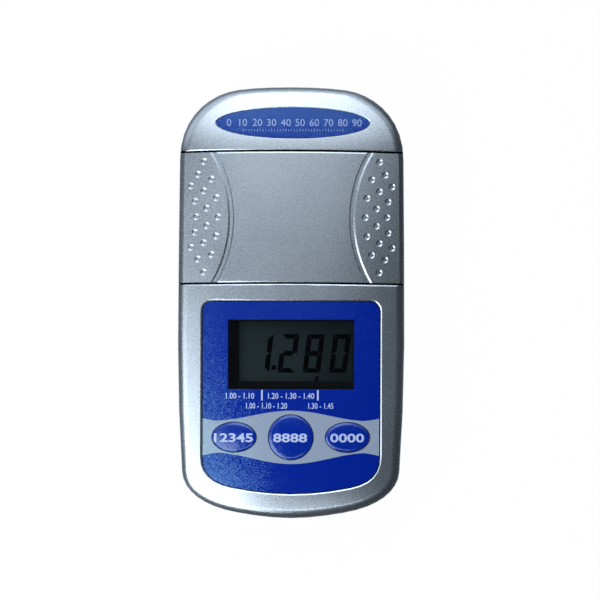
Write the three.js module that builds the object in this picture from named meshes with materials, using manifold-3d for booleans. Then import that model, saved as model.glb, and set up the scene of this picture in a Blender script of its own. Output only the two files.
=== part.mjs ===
import * as THREE from "three";
import { mergeVertices } from "three/addons/utils/BufferGeometryUtils.js";
import Module from "manifold-3d";

const wasm = await Module();
wasm.setup();

// Millimetres. +Z rises out of the display side, +Y points at the capped end.
const halfLength = 62;
const crest = 25;
const crownRadius = 200;
const partingZ = 10;
const partingGap = 0.1;
const wall = 1.9;
const skin = 2.3;
const edgeWidth = 2.6;
const edgeHeight = 1;

// Flip cover and its hidden pivot.
const pivotY = 37.6;
const pivotZ = 20;
const seamReach = 5.8;
const seamBow = 0.45;
const earRadius = 5.9;
const coverGap = 0.45;
const easeWidth = 0.35;
const easeSlope = 0.42;
const coverSkin = 1.6;
const coverFrontRadius = 32.05;
const shellFrontRadius = 32.6;
const cheekInner = 30;
const cheekFloor = 14.4;
const deckTop = 14;
const deckThickness = 1.5;
const pinRadius = 0.8;
const lugInner = 20;
const lugOuter = 23.6;

// Grip zones of the cover.
const gripCentreX = 54.6;
const gripCentreY = 24.2;
const gripRadius = 36.9;
const gripDepth = 0.22;
const grooveDepth = 0.42;
const gripBevel = 1.25;
const dimpleRadius = 0.98;
const dimpleFloor = 0.56;
const dimpleDepth = 0.2;
const dimpleStep = 0.1655;
const dimpleColumns = [
  [33.4, 7],
  [30.3, 6],
  [27.2, 5],
];

// Display panel, window and keys.
const panelHalfWidth = 25.65;
const panelTop = 0.5;
const panelBottom = -55;
const panelRecess = 0.18;
const panelBevel = 0.6;
const panelThickness = 0.5;
const windowHalfWidth = 18.15;
const windowTop = -4.85;
const windowBottom = -24.95;
const keyY = -38.7;
const keyPitch = 16.3;
const keyClearance = 0.15;
const badgeX = 0.3;
const badgeY = 51.7;
const badgeHalfWidth = 22.2;
const badgeHalfHeight = 4.5;

// Sample stage and optics.
const stageY = 19.5;
const stageRadius = 12.2;
const prismHalf = 4.5;

// Electronics and cells.
const boardBottom = 16.3;
const boardTop = 17.9;
const cellRadius = 5.25;
const cellLength = 44.5;
const cellFoot = -55.1;
const cellX = 5.6;
const cellZ = 7.55;
const doorHalfWidth = 14.3;
const doorTop = -8.3;

function solid(geometry) {
  geometry.deleteAttribute("normal");
  geometry.deleteAttribute("uv");
  const merged = mergeVertices(geometry, 1e-4);
  return new wasm.Manifold(
    new wasm.Mesh({
      numProp: 3,
      vertProperties: new Float32Array(merged.attributes.position.array),
      triVerts: new Uint32Array(merged.index.array),
    }),
  );
}

function join(...bodies) {
  return bodies.reduce((a, b) => a.add(b));
}

function cut(body, ...tools) {
  return tools.reduce((a, b) => a.subtract(b), body);
}

function box(x0, x1, y0, y1, z0, z1) {
  const g = new THREE.BoxGeometry(x1 - x0, y1 - y0, z1 - z0);
  g.translate((x0 + x1) / 2, (y0 + y1) / 2, (z0 + z1) / 2);
  return solid(g);
}

function post(x, y, z0, z1, low, high = low, sides = 24) {
  const g = new THREE.CylinderGeometry(high, low, z1 - z0, sides);
  g.rotateX(Math.PI / 2);
  g.translate(x, y, (z0 + z1) / 2);
  return solid(g);
}

// Round bar along X.
function bar(x0, x1, y, z, radius, sides = 24) {
  const g = new THREE.CylinderGeometry(radius, radius, x1 - x0, sides);
  g.rotateZ(Math.PI / 2);
  g.translate((x0 + x1) / 2, y, z);
  return solid(g);
}

// Ring or disc of revolution about an upright axis from (radius, height) points.
function turned(points, x, y, sides = 40) {
  const profile = points.map(([r, z]) => new THREE.Vector2(r, z));
  const g = new THREE.LatheGeometry(profile, sides);
  g.rotateX(Math.PI / 2);
  g.translate(x, y, 0);
  return solid(g);
}

// Side-view shape of (y, z) points carried along X.
function ridge(points, x0, x1) {
  const shape = new THREE.Shape(points.map(([y, z]) => new THREE.Vector2(y, z)));
  const g = new THREE.ExtrudeGeometry(shape, { depth: x1 - x0, bevelEnabled: false });
  g.rotateX(Math.PI / 2);
  g.rotateZ(Math.PI / 2);
  g.translate(x0, 0, 0);
  return solid(g);
}

// Closed body through a stack of rings that run anticlockwise, from its underside to its top.
function loft(rings) {
  const n = rings[0].length;
  const position = rings.flat(2);
  const index = [];
  const ends = [rings[0], rings.at(-1)];
  for (const ring of ends) {
    for (let axis = 0; axis < 3; axis++) position.push(ring.reduce((s, p) => s + p[axis], 0) / n);
  }
  const low = rings.length * n;
  const high = low + 1;
  const last = (rings.length - 1) * n;
  for (let i = 0; i < n; i++) {
    const j = (i + 1) % n;
    index.push(low, j, i, high, last + i, last + j);
    for (let k = 0; k < rings.length - 1; k++) {
      const a = k * n;
      const b = a + n;
      index.push(a + i, a + j, b + j, a + i, b + j, b + i);
    }
  }
  const g = new THREE.BufferGeometry();
  g.setAttribute("position", new THREE.Float32BufferAttribute(position, 3));
  g.setIndex(index);
  return solid(g);
}

function raise(points, height) {
  return points.map(([x, y]) => [x, y, height(x, y)]);
}

function shrink(points, scale, cx = 0, cy = 0) {
  return points.map(([x, y]) => [cx + (x - cx) * scale, cy + (y - cy) * scale]);
}

// Points moved along their inward normals.
function inset(points, distance) {
  const n = points.length;
  return points.map(([x, y], i) => {
    const before = points[(i + n - 1) % n];
    const after = points[(i + 1) % n];
    const dx = after[0] - before[0];
    const dy = after[1] - before[1];
    const length = Math.hypot(dx, dy);
    return [x - (dy / length) * distance, y + (dx / length) * distance];
  });
}

// Sheet between two height fields over an outline.
function slab(points, cy, low, high, scales = [1, 0.66, 0.33]) {
  const under = scales.map((s) => raise(shrink(points, s, 0, cy), low)).reverse();
  const over = scales.map((s) => raise(shrink(points, s, 0, cy), high));
  return loft([...under, ...over]);
}

function ellipse(cx, cy, a, b, count = 32) {
  return Array.from({ length: count }, (_, i) => {
    const t = (2 * Math.PI * i) / count;
    return [cx + a * Math.cos(t), cy + b * Math.sin(t)];
  });
}

// Height of the display side: crowned across, falling away at both ends.
function face(x, y) {
  const head = Math.max(0, y - 44) / 18;
  const foot = Math.max(0, -48 - y) / 14;
  return crest - (x * x) / (2 * crownRadius) - 1.6 * head * head - 0.9 * foot * foot;
}

function mirrored(half) {
  const other = half.slice(1, -1).map(([x, y]) => [-x, y]);
  return [...half, ...other.reverse()];
}

function curve(from, c1, c2, to, count) {
  const [a, b, c, d] = [from, c1, c2, to].map((p) => new THREE.Vector2(...p));
  return new THREE.CubicBezierCurve(a, b, c, d).getPoints(count).map((p) => [p.x, p.y]);
}

// Plan outline of the case, from the foot round by the right side.
function caseOutline() {
  const foot = curve([0, -halfLength], [5, -62], [10.5, -61.3], [15.4, -60.4], 3);
  const lowCorner = curve([15.4, -60.4], [25.2, -58.7], [31, -54.2], [31.3, -48.6], 8);
  const lowSide = curve([31.3, -48.6], [32, -38], [32.6, -25], [32.6, -12], 2);
  const highSide = curve([32.6, -12], [32.6, 5], [32.4, 25], [32.2, 41.2], 2);
  const highCorner = curve([32.2, 41.2], [32.2, 53], [24, 60], [15.5, 61.2], 9);
  const head = curve([15.5, 61.2], [11, 61.8], [6, 62], [0, halfLength], 3);
  const half = [...foot];
  for (const part of [lowCorner, lowSide, highSide, highCorner, head]) half.push(...part.slice(1));
  return mirrored(half);
}

const outline = caseOutline();
const crownScales = [0.92, 0.83, 0.7, 0.5, 0.25];

function frontBody() {
  const edge = (distance, drop) => raise(inset(outline, distance), (x, y) => face(x, y) - drop);
  const brim = inset(outline, edgeWidth);
  const slope = [0.1, 0.17, 0.6, 1.1, 1.7, edgeWidth].map((distance) =>
    edge(distance, edgeHeight * (1 - distance / edgeWidth) ** 2),
  );
  return loft([
    raise(outline, () => partingZ + partingGap),
    edge(0, edgeHeight + 0.12),
    ...slope,
    ...crownScales.map((s) => raise(shrink(brim, s), face)),
  ]);
}

function frontHollow() {
  const brim = inset(outline, wall + 1.6);
  return loft([
    raise(inset(outline, wall), () => partingZ - 2),
    raise(inset(outline, wall), (x, y) => face(x, y) - skin - 2.2),
    raise(inset(outline, wall + 0.5), (x, y) => face(x, y) - skin - 0.8),
    raise(brim, (x, y) => face(x, y) - skin),
    ...[0.8, 0.45].map((s) => raise(shrink(brim, s), (x, y) => face(x, y) - skin)),
  ]);
}

function backBody() {
  const level = (distance, z) => raise(inset(outline, distance), () => z);
  return loft([
    level(4.2, 0),
    level(2.9, 0.35),
    level(1.7, 1.1),
    level(0.7, 2.5),
    level(0.15, 4.3),
    level(0, 6),
    level(0, partingZ - partingGap),
  ]);
}

function backHollow() {
  const level = (distance, z) => raise(inset(outline, distance), () => z);
  return loft([level(5, 2), level(3.4, 2.8), level(2.2, 4.6), level(wall, 7), level(wall, 12)]);
}

function wallRing(outer, inner, z0, z1) {
  const level = (distance, z) => raise(inset(outline, distance), () => z);
  const full = loft([level(outer, z0), level(outer, z1)]);
  return cut(full, loft([level(inner, z0 - 1), level(inner, z1 + 1)]));
}

// Radius, round the pivot, of the cover's rear end at a distance from the middle.
function rearRadius(x) {
  const side = Math.min(Math.abs(x), 29);
  const reach = seamReach - seamBow * (side / 32) ** 2;
  const middle = Math.hypot(reach, face(side, pivotY) - pivotZ);
  const t = Math.min(1, Math.max(0, (Math.abs(x) - 29) / 2));
  return middle + (earRadius - middle) * t;
}

// Barrel round the pivot that follows the cover's rear end.
function barrel(offset, halfWidth = 34) {
  const stations = [0, 10, 20, 29, 31].filter((x) => x < halfWidth);
  const right = [...stations.map((x) => [rearRadius(x) + offset, x])];
  right.push([rearRadius(halfWidth) + offset, halfWidth]);
  const left = right.slice(1).map(([r, x]) => [r, -x]);
  const points = [[0, -halfWidth], ...left.reverse(), ...right, [0, halfWidth]];
  const g = new THREE.LatheGeometry(points.map((p) => new THREE.Vector2(...p)), 36);
  g.rotateZ(-Math.PI / 2);
  g.translate(0, pivotY, pivotZ);
  return solid(g);
}

function frontSweep(radius, z0) {
  const drum = bar(-40, 40, pivotY, pivotZ, radius, 160);
  return drum.intersect(box(-41, 41, -5, pivotY, z0, 40));
}

// Space under a sheet that keeps a set distance below the face.
function underFace(depth, x1, y0, y1, z0) {
  const steps = [1, 0.8, 0.6, 0.4, 0.2, 0, -0.2, -0.4, -0.6, -0.8, -1];
  const arc = steps.map((t) => [t * x1, crest - (t * x1) ** 2 / (2 * crownRadius) - depth]);
  const shape = new THREE.Shape([[-x1, z0], [x1, z0], ...arc].map((p) => new THREE.Vector2(...p)));
  const g = new THREE.ExtrudeGeometry(shape, { depth: y1 - y0, bevelEnabled: false });
  g.rotateX(Math.PI / 2);
  g.translate(0, y1, 0);
  return solid(g);
}

function hingeLug(side) {
  const web = [
    [-9, -7],
    [-3.9, -7],
    [-3, -5.2],
    [-1.25, -0.9],
    [-0.9, 1.25],
    [-6.6, -4.6],
    [-9, -5.4],
  ];
  const x0 = side > 0 ? lugInner : -lugOuter;
  const x1 = side > 0 ? lugOuter : -lugInner;
  const leaf = ridge(web.map(([y, z]) => [pivotY + y, pivotZ + z]), x0, x1);
  const eye = bar(x0, x1, pivotY, pivotZ, 1.55, 24);
  return cut(join(leaf, eye), bar(x0 - 1, x1 + 1, pivotY, pivotZ, pinRadius + 0.03, 16));
}

function hingePin(side) {
  const x0 = side > 0 ? 20.4 : -31;
  const x1 = side > 0 ? 31 : -20.4;
  return bar(x0, x1, pivotY, pivotZ, pinRadius, 16);
}

function panelOutline() {
  const top = panelTop;
  const w = panelHalfWidth;
  const foot = curve([0, panelBottom], [6, panelBottom], [11, -54.4], [17.2, -53.2], 3);
  const low = curve([17.2, -53.2], [22.9, -52], [w, -49.3], [w, -44.2], 6);
  const high = curve([w, top - 2.9], [w, top - 1.2], [w - 1.2, top], [w - 2.9, top], 4);
  return mirrored([...foot, ...low.slice(1), [w, -23], ...high, [17, top], [11, top], [5.5, top], [0, top]]);
}

const panel = panelOutline();
const panelMiddle = -27;
const keys = [
  ["scale_key", -keyPitch, 6.4, 4.3],
  ["read_key", 0, 6.45, 6.5],
  ["zero_key", keyPitch, 6.4, 4.3],
];

function windowHole(margin) {
  const x = windowHalfWidth + margin;
  return box(-x, x, windowBottom - margin, windowTop + margin, 15, 30);
}

function keyHoles(clearance) {
  return join(
    ...keys.map(([, x, a, b]) => {
      const rim = ellipse(x, keyY, a + clearance, b + clearance);
      return loft([raise(rim, () => 15), raise(rim, () => 30)]);
    }),
  );
}

function panelPocket() {
  const rim = inset(panel, -0.1);
  const brim = inset(panel, -panelBevel);
  const floor = panelRecess + panelThickness + 0.05;
  const low = (x, y) => face(x, y) - floor;
  return loft([
    ...[0.33, 0.66, 1].map((s) => raise(shrink(rim, s, 0, panelMiddle), low)),
    raise(rim, (x, y) => face(x, y) - panelRecess),
    raise(brim, (x, y) => face(x, y) + 0.06),
    raise(brim, () => 30),
  ]);
}

function panelOverlay() {
  const low = (x, y) => face(x, y) - panelRecess - panelThickness;
  const high = (x, y) => face(x, y) - panelRecess;
  return cut(slab(panel, panelMiddle, low, high), windowHole(0), keyHoles(keyClearance));
}

function badgePocket() {
  const rim = ellipse(badgeX, badgeY, badgeHalfWidth, badgeHalfHeight, 48);
  const brim = ellipse(badgeX, badgeY, badgeHalfWidth + 0.4, badgeHalfHeight + 0.4, 48);
  const low = (x, y) => face(x, y) - 0.6;
  return loft([
    ...[0.33, 0.66, 1].map((s) => raise(shrink(rim, s, badgeX, badgeY), low)),
    raise(rim, (x, y) => face(x, y) - 0.15),
    raise(brim, (x, y) => face(x, y) + 0.06),
    raise(brim, () => 30),
  ]);
}

function badgePlate() {
  const rim = ellipse(0, badgeY, badgeHalfWidth - 0.08, badgeHalfHeight - 0.08, 48);
  const moved = (height) => (x, y) => face(x + badgeX, y) - height;
  return slab(rim, badgeY, moved(0.56), moved(0.13)).translate([badgeX, 0, 0]);
}

const screwPlaces = [
  [23, -51],
  [-23, -51],
  [21, 52],
  [-21, 52],
];
const boardScrews = [
  [23.6, -1.6],
  [-23.6, -1.6],
];

// Upper case: cap, display face and the sunk deck under the flip cover.
function frontShell() {
  const well = join(frontSweep(shellFrontRadius, deckTop), barrel(coverGap));
  const lining = join(
    frontSweep(shellFrontRadius + 1.5, deckTop - deckThickness),
    barrel(coverGap + 1.4),
  );
  const hollow = cut(frontHollow(), lining);
  const pillars = [
    ...screwPlaces.map(([x, y]) => post(x, y, partingZ + 0.2, 23, 2.6)),
    ...boardScrews.map(([x, y]) => post(x, y, boardTop + 0.05, 23.5, 2.3)),
  ].map((p) => p.intersect(frontBody()));
  const shell = join(cut(frontBody(), hollow), ...pillars);
  const tongueRoom = wallRing(0.9, 4, partingZ - 1, partingZ + 1.5);
  const bores = [
    ...screwPlaces.map(([x, y]) => post(x, y, 8, 17.3, 1.3, 1.3, 16)),
    ...boardScrews.map(([x, y]) => post(x, y, 15, 21, 0.95, 0.95, 16)),
  ];
  const stageHole = post(0, stageY, 8, 16, 11.3, 11.3, 40);
  const body = cut(
    shell,
    well,
    tongueRoom,
    panelPocket(),
    badgePocket(),
    windowHole(0),
    keyHoles(keyClearance),
    stageHole,
    edgeEaser((x) => frontSeam(x, shellFrontRadius), -1),
    edgeEaser((x) => rearSeam(x, coverGap), 1),
    ...bores,
  );
  return join(body, hingeLug(1), hingeLug(-1));
}

function doorOpening() {
  return join(
    box(-14.6, 14.6, -70, -8, -1, 1),
    box(-12.8, 12.8, -70, -9.4, -1, 2.1),
    box(-12.8, 12.8, -70, -57.9, -1, 6.2),
    ...[-14.5, -34.5].flatMap((y) => [
      box(12, 14.4, y - 10.3, y - 5.7, 0.5, 2.1),
      box(-14.4, -12, y - 10.3, y - 5.7, 0.5, 2.1),
    ]),
  );
}

function cellBay() {
  const rim = box(-15.5, 15.5, -57.6, -4.2, 1.9, 9.4);
  return cut(rim, box(-14.25, 14.25, -56.4, -5.5, 1, 12));
}

// Lower case with the cell bay and four screw towers.
function backShell() {
  const outer = backBody();
  const towers = [
    ...screwPlaces.map(([x, y]) => post(x, y, 1.5, partingZ - partingGap, 3.6)),
    box(-9.5, -6, 11, 14, 1.5, 3.1),
    box(6, 9.5, 11, 14, 1.5, 3.1),
    box(-9.5, -6, 25, 28, 1.5, 3.1),
    box(6, 9.5, 25, 28, 1.5, 3.1),
    cellBay(),
  ].map((p) => p.intersect(outer));
  const tongue = wallRing(1.05, wall, partingZ - 1, partingZ + 1.3);
  const shell = join(cut(outer, backHollow()), ...towers, tongue);
  const bores = screwPlaces.flatMap(([x, y]) => [
    post(x, y, -1, 3.8, 2.85, 2.85, 20),
    post(x, y, 2, 12, 1.5, 1.5, 16),
  ]);
  return cut(shell, doorOpening(), ...bores);
}

function batteryDoor() {
  const outer = backBody();
  const plate = join(
    box(-doorHalfWidth, doorHalfWidth, -70, doorTop, -1, 0.85),
    box(-12.5, 12.5, -70, -9.7, -1, 1.9),
    cut(box(-12.5, 12.5, -70, -59.9, -1, 6), box(-13, 13, -59.95, -50, 1.9, 9)),
  );
  const tabs = [-14.5, -34.5].flatMap((y) => [
    join(box(10.5, 12.5, y - 2, y + 2, 1.5, 3), box(11, 14, y - 2, y + 2, 2.25, 3)),
    join(box(-12.5, -10.5, y - 2, y + 2, 1.5, 3), box(-14, -11, y - 2, y + 2, 2.25, 3)),
  ]);
  const ribs = [-14, -16.2, -18.4, -20.6, -22.8].map((y) => box(-7, 7, y - 0.6, y + 0.6, -1, 0.7));
  const body = cut(plate.intersect(outer), ...ribs);
  return cut(join(body, ...tabs), cellRoom());
}

function cellRoom() {
  const length = cellLength + 8;
  const y0 = cellFoot - 4;
  const tunnel = (x) => {
    const g = new THREE.CylinderGeometry(cellRadius + 0.2, cellRadius + 0.2, length, 32);
    g.translate(x, y0 + length / 2, cellZ);
    return solid(g);
  };
  return join(tunnel(cellX), tunnel(-cellX));
}

// Flat-bottomed dimple with a sloped wall, set square to the crowned skin.
function dimple(x, y) {
  const ring = (radius, height) =>
    raise(ellipse(x, y, radius, radius, 16), (px, py) => face(px, py) - gripDepth + height);
  return loft([
    ring(dimpleFloor, -dimpleDepth),
    ring(dimpleRadius, 0),
    ring(dimpleRadius + 0.21, 0.1),
    ring(dimpleRadius + 0.21, 0.5),
  ]);
}

// Three staggered columns of dimples on each grip zone, following the curve of its edge.
function dimples() {
  const list = [];
  for (const [radius, count] of dimpleColumns) {
    for (let i = 0; i < count; i++) {
      const angle = (i - (count - 1) / 2) * dimpleStep;
      const x = -gripCentreX + radius * Math.cos(angle);
      const y = gripCentreY + 0.4 + radius * Math.sin(angle);
      list.push([x, y], [-x, y]);
    }
  }
  return list;
}

// Closed body between two grids of points that match, the first below the second.
function between(low, high) {
  const rows = low.length;
  const columns = low[0].length;
  const index = [];
  const at = (sheet, i, j) => (sheet * rows + i) * columns + j;
  const quad = (a, b, c, d) => index.push(a, b, c, a, c, d);
  const end = rows - 1;
  const last = columns - 1;
  for (let i = 0; i < end; i++) {
    for (let j = 0; j < last; j++) {
      quad(at(0, i, j), at(0, i + 1, j), at(0, i + 1, j + 1), at(0, i, j + 1));
      quad(at(1, i, j), at(1, i, j + 1), at(1, i + 1, j + 1), at(1, i + 1, j));
    }
    quad(at(0, i, last), at(0, i + 1, last), at(1, i + 1, last), at(1, i, last));
    quad(at(0, i + 1, 0), at(0, i, 0), at(1, i, 0), at(1, i + 1, 0));
  }
  for (let j = 0; j < last; j++) {
    quad(at(0, 0, j), at(0, 0, j + 1), at(1, 0, j + 1), at(1, 0, j));
    quad(at(0, end, j + 1), at(0, end, j), at(1, end, j), at(1, end, j + 1));
  }
  const g = new THREE.BufferGeometry();
  g.setAttribute("position", new THREE.Float32BufferAttribute([...low, ...high].flat(2), 3));
  g.setIndex(index);
  return solid(g);
}

// Tool that lowers one grip zone of the cover and cuts the groove along its curved edge.
function gripCutter(side) {
  const rows = 16;
  const section = [
    [gripRadius - 0.5, gripDepth],
    [gripRadius, grooveDepth],
    [gripRadius + gripBevel - 0.4, grooveDepth],
    [gripRadius + gripBevel, -0.02],
  ];
  const low = Array.from({ length: rows + 1 }, (_, i) => {
    const y = 3 + (i / rows) * 44;
    const reach = (radius) => Math.sqrt(radius ** 2 - (y - gripCentreY) ** 2) - gripCentreX;
    const start = reach(gripRadius - 0.5);
    const flat = [0, 0.3, 0.6, 0.85].map((t) => [-36 + (start + 36) * t, gripDepth]);
    const profile = [...flat, ...section.map(([radius, depth]) => [reach(radius), depth])];
    return profile.map(([x, depth]) => [x, y, face(x, 20) - depth]);
  });
  const high = low.map((line) => line.map(([x, y]) => [x, y, 32]));
  const tool = between(low, high);
  return side < 0 ? tool : tool.mirror([1, 0, 0]);
}

// Line where a sweep of this radius round the pivot meets the display side.
function frontSeam(x, radius) {
  const side = Math.min(Math.abs(x), 32);
  return pivotY - Math.sqrt(radius ** 2 - (face(side, 5) - pivotZ) ** 2);
}

// Tool that slopes off a long edge across the case, where the kept material lies towards way.
function edgeEaser(edge, way) {
  const columns = Array.from({ length: 17 }, (_, i) => -34 + i * 4.25);
  const row = (along) =>
    columns.map((x) => {
      const y = edge(x) + way * along;
      return [x, y, face(x, y) - (easeWidth - along) * easeSlope];
    });
  const low = [row(-0.3), row(easeWidth + 0.12)];
  if (way < 0) low.reverse();
  const high = low.map((line) => line.map(([x, y]) => [x, y, 32]));
  return between(low, high);
}

function rearSeam(x, offset) {
  const side = Math.min(Math.abs(x), 32);
  const radius = rearRadius(side) + offset;
  return pivotY + Math.sqrt(radius ** 2 - (face(side, pivotY) - pivotZ) ** 2);
}

// Flip cover: crowned skin, deep cheeks and a barrel rear end that turns inside the cap.
function cover() {
  const front = frontSweep(coverFrontRadius, cheekFloor);
  const rear = barrel(0).intersect(box(-40, 40, pivotY - 0.01, 60, 8, 40));
  const block = frontBody().intersect(join(front, rear));
  const frontWall = pivotY - coverFrontRadius + 1.7;
  const room = join(
    underFace(coverSkin, cheekInner, frontWall, pivotY, 5),
    barrel(-coverSkin, cheekInner).intersect(underFace(coverSkin, cheekInner, 20, 60, 5)),
    box(-cheekInner, cheekInner, pivotY - 1, 60, 5, 19),
  );
  const eyes = [-1, 1].map((side) => {
    const x0 = side > 0 ? lugOuter + 0.3 : -cheekInner - 0.5;
    const x1 = side > 0 ? cheekInner + 0.5 : -lugOuter - 0.3;
    return bar(x0, x1, pivotY, pivotZ, 2.3, 24);
  });
  const bores = [-1, 1].map((side) => {
    const x0 = side > 0 ? 22 : -31.2;
    const x1 = side > 0 ? 31.2 : -22;
    return bar(x0, x1, pivotY, pivotZ, pinRadius + 0.08, 16);
  });
  const hulls = join(cut(block, room), ...eyes);
  return cut(
    hulls,
    edgeEaser((x) => frontSeam(x, coverFrontRadius), 1),
    edgeEaser((x) => rearSeam(x, 0), -1),
    gripCutter(-1),
    gripCutter(1),
    ...bores,
    ...dimples().map(([x, y]) => dimple(x, y)),
  );
}

function coverLiner() {
  const w = 25.5;
  const plate = underFace(coverSkin + 0.05, w, 9, 30.5, 15);
  const below = underFace(coverSkin + 1.35, w + 1, 8, 31.5, 10);
  return cut(plate, below);
}

function coverGasket() {
  const top = 21.72;
  return turned(
    [
      [8.8, top - 1.1],
      [10.2, top - 1.1],
      [10.5, top - 0.8],
      [10.5, top],
      [8.5, top],
      [8.5, top - 0.8],
      [8.8, top - 1.1],
    ],
    0,
    stageY,
    32,
  );
}

function sampleStage() {
  return turned(
    [
      [11, 12.2],
      [11, deckTop + 0.05],
      [stageRadius, deckTop + 0.05],
      [stageRadius, 15],
      [stageRadius - 0.35, 15.35],
      [11.3, 15.35],
      [10.6, 15.1],
      [8.6, 14.75],
      [7.05, 14.62],
      [7.05, 12.2],
      [11, 12.2],
    ],
    0,
    stageY,
    36,
  );
}

function prismSeal() {
  const disc = post(0, stageY, 13.3, 14.52, 7, 7, 40);
  const h = prismHalf + 0.04;
  return cut(disc, box(-h, h, stageY - h, stageY + h, 12, 16));
}

function prismShape(margin) {
  const w = prismHalf + margin;
  return ridge(
    [
      [stageY - 2 - margin, 8.2 - margin],
      [stageY + 2 + margin, 8.2 - margin],
      [stageY + w, 13.2],
      [stageY + w, 14.56 + margin],
      [stageY - w, 14.56 + margin],
      [stageY - w, 13.2],
    ],
    -w,
    w,
  );
}

// Black block that holds the prism and the light path beneath the deck.
function opticsBlock() {
  const body = box(-10, 10, 8.5, 30.5, 3.2, 12.05);
  const path = [-1, 1].map((side) => lightPath(side, 2.6, 2, 16));
  return cut(body, prismShape(0.15), ...path);
}

// Round bar that leaves the prism's sloping side and runs down to one end of the block.
function lightPath(side, radius, from, to) {
  const g = new THREE.CylinderGeometry(radius, radius, to - from, 20);
  g.translate(0, (from + to) / 2, 0);
  g.rotateX(side > 0 ? -0.4636 : Math.PI + 0.4636);
  g.translate(0, stageY + side * 1.5, 11.2);
  return solid(g);
}

function lightEmitter() {
  const profile = [
    [0, 4.4],
    [0.9, 4.6],
    [1.7, 5.3],
    [2.1, 6.4],
    [2.1, 8.4],
    [2.45, 8.4],
    [2.45, 9.2],
    [0, 9.2],
  ];
  const g = new THREE.LatheGeometry(profile.map((p) => new THREE.Vector2(...p)), 20);
  g.rotateX(Math.PI + 0.4636);
  g.translate(0, stageY - 1.5, 11.2);
  return solid(g);
}

function sensorBoard() {
  return box(-8, 8, 30.8, 31.9, 3.4, 11);
}

function sensorArray() {
  return box(-1.6, 1.6, 29.7, 30.75, 5.4, 7.6);
}

function sensorRibbon() {
  const t = 0.15;
  const run = [
    [32.15 - t, 9],
    [32.15 - t, 3.1],
    [31.6, 2.7],
    [2.7, 2.7],
    [2.1, 3.3],
    [2.1, 16.2],
    [2.4, 16.2],
    [2.4, 3.4],
    [2.8, 3],
    [31.5, 3],
    [31.95, 3.4],
  ];
  return ridge(run, -4, 4);
}

function lcdFrame() {
  const flange = box(-21.1, 21.1, -28.4, -0.8, 18, 21.25);
  const reach = windowHalfWidth - 0.1;
  const collar = box(-reach, reach, windowBottom + 0.1, windowTop - 0.1, 20, 22.8);
  const pocket = box(-20.2, 20.2, -27.2, -2, 15, 20.75);
  const lowRim = [[-15, -22.65], [17.7, -22.65], [17.7, -5.3], [-15, -5.3]];
  const highRim = [[-17.6, -24.5], [17.7, -24.5], [17.7, -5.3], [-17.6, -5.3]];
  const mouth = loft([
    raise(lowRim, () => 20),
    raise(lowRim, () => 20.8),
    raise(highRim, () => 22.7),
    raise(highRim, () => 24),
  ]);
  return cut(join(flange, collar), pocket, mouth);
}

function lcdWindow() {
  const reach = windowHalfWidth - 0.1;
  return box(-reach, reach, windowBottom + 0.1, windowTop - 0.1, 22.85, 23.6);
}

function lcdGlass() {
  return box(-20, 20, -27, -2.2, 19.1, 20.7);
}

function zebraStrip() {
  return box(-18.5, 18.5, -26.8, -24.6, boardTop + 0.03, 19.07);
}

function mainBoard() {
  const board = box(-26.4, 26.4, -47.4, 1.8, boardBottom, boardTop);
  return cut(board, ...boardScrews.map(([x, y]) => post(x, y, 15, 20, 1.2, 1.2, 16)));
}

function processorChip() {
  return box(-6, 6, -20, -8, 14.6, boardBottom - 0.02);
}

function keySwitch(x) {
  const z = boardTop + 0.02;
  const body = box(x - 3, x + 3, keyY - 3, keyY + 3, z, z + 1.9);
  return join(body, post(x, keyY, z + 1, 20.25, 1.7, 1.6, 20));
}

function key(x, a, b) {
  const rim = (grow, drop) => {
    const points = ellipse(x, keyY, a + grow, b + grow);
    return raise(points, (px, py) => face(px, py) - drop);
  };
  const dome = loft([
    rim(0.9, skin + 0.9),
    rim(0.9, skin + 0.12),
    rim(0, skin + 0.12),
    rim(0, 0.12),
    rim(-0.1, -0.08),
    rim(-0.36, -0.22),
    rim(-0.95, -0.29),
    rim(-a * 0.5, -0.34),
  ]);
  return join(dome, post(x, keyY, 20.8, 22.5, 1.5, 1.5, 20));
}

function cell(side) {
  const flat = side < 0 ? cellFoot + 3.7 : cellFoot + cellLength;
  const profile = [
    [0, 0],
    [4.9, 0],
    [cellRadius, 0.35],
    [cellRadius, cellLength - 1.5],
    [4.9, cellLength - 1.1],
    [1.9, cellLength - 1.1],
    [1.75, cellLength],
    [0, cellLength],
  ];
  const g = new THREE.LatheGeometry(profile.map((p) => new THREE.Vector2(...p)), 24);
  if (side > 0) g.rotateZ(Math.PI);
  g.translate(side * cellX, flat, cellZ);
  return solid(g);
}

// Coil between a cell's flat end and the wall of the bay.
function cellSpring(side) {
  const wallEnd = side < 0 ? -56.15 : -5.75;
  const direction = side < 0 ? 1 : -1;
  const turns = 3.5;
  const points = [];
  for (let i = 0; i <= 42; i++) {
    const t = i / 42;
    const angle = 2 * Math.PI * turns * t;
    const radius = 3.4 - 1.3 * t;
    const y = wallEnd + direction * (0.1 + 4.2 * t);
    const p = [side * cellX + radius * Math.cos(angle), y, cellZ + radius * Math.sin(angle)];
    points.push(new THREE.Vector3(...p));
  }
  const wire = new THREE.Shape(ellipse(0, 0, 0.3, 0.3, 5).map((p) => new THREE.Vector2(...p)));
  const path = new THREE.CatmullRomCurve3(points);
  return solid(new THREE.ExtrudeGeometry(wire, { steps: 46, extrudePath: path }));
}

function contactPlate(side) {
  const x = side * cellX;
  const y = side < 0 ? -6.3 : -55.7;
  return box(x - 4, x + 4, y - 0.25, y + 0.25, 4, 11.5);
}

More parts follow.
